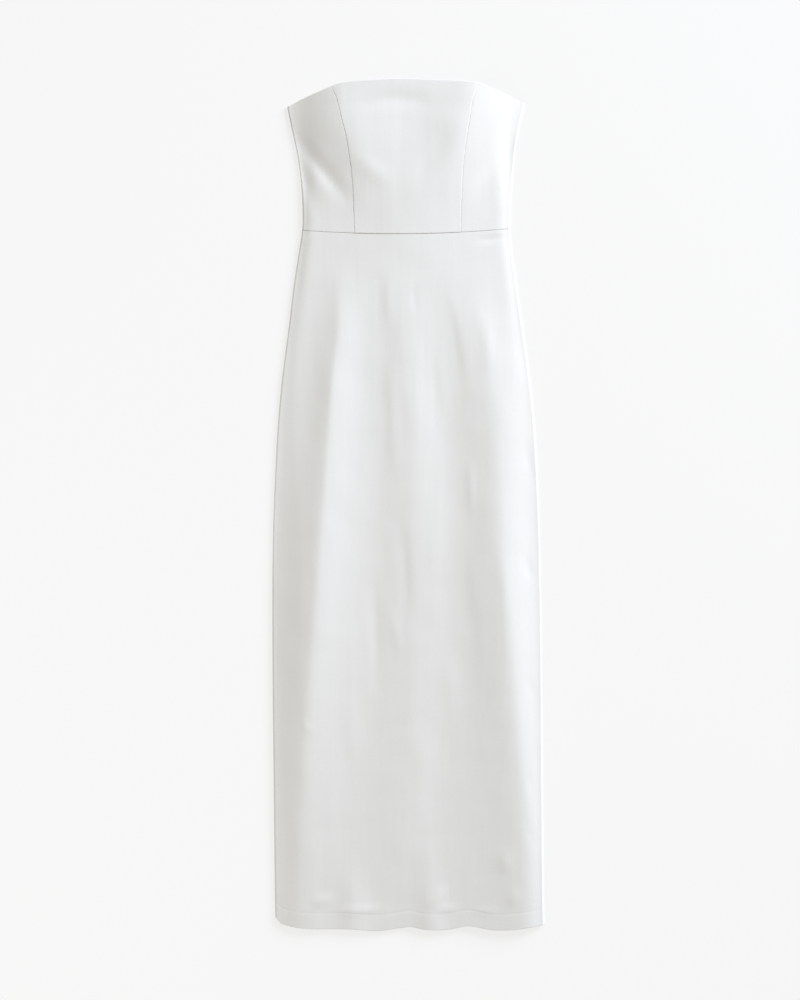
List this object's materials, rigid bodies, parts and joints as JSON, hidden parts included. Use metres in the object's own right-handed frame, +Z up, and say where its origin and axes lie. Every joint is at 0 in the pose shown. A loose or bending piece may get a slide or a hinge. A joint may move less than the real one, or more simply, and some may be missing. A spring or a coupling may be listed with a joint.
{
  "type": "strapless dress",
  "caption": "Full-length strapless column dress in plain pale satin, laid flat, with a princess-seamed bodice, a waist seam and a softly folded straight skirt.",
  "frame": {"origin": "on the surface that the dress lies on, under the middle of its bounding box", "axes": "+Y runs up the dress from the hem to the top edge, +X across it to the right as seen from above, +Z up off the surface through the front of the dress"},
  "size_m": [0.4321, 1.35, 0.0244],
  "materials": {
    "satin": "off-white satin with a soft sheen",
    "zip_tape": "matt off-white woven tape",
    "zip_metal": "satin enamel"
  },
  "bodies": {
    "root": {"bodice_centre_front": "satin", "bodice_side_front_left": "satin", "bodice_side_front_right": "satin", "bodice_back_left": "satin", "bodice_back_right": "satin", "skirt_front": "satin", "skirt_back_left": "satin", "skirt_back_right": "satin", "back_zip": "zip_tape", "zip_slider": "zip_metal"}
  },
  "joints": []
}
